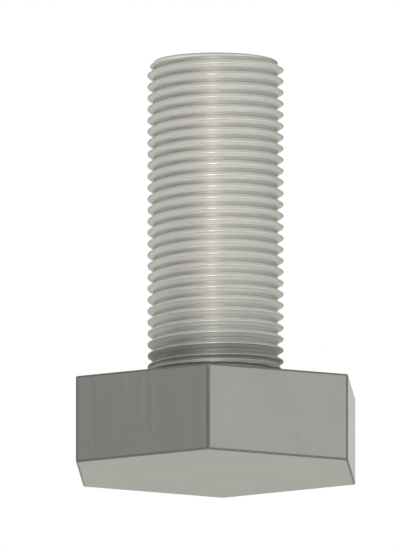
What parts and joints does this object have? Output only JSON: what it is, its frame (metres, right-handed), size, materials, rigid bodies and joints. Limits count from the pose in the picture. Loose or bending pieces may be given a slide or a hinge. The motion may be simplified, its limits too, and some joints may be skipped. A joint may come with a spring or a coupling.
{
  "type": "hex-head bolt",
  "caption": "Hex-head bolt with a plain sharp-cornered hexagon head and a fine right-hand thread along its whole shank, standing on its head.",
  "frame": {"origin": "centre of the head's flat outer face, which the bolt stands on", "axes": "+Z along the shank, from the head to the tip; two corners of the hexagon lie on Y and two flats face X"},
  "size_m": [0.012, 0.0138, 0.0183],
  "materials": {
    "steel": "satin, bare steel: forged flats on the head and a rolled thread"
  },
  "bodies": {
    "root": {"bolt": "steel"}
  },
  "joints": []
}
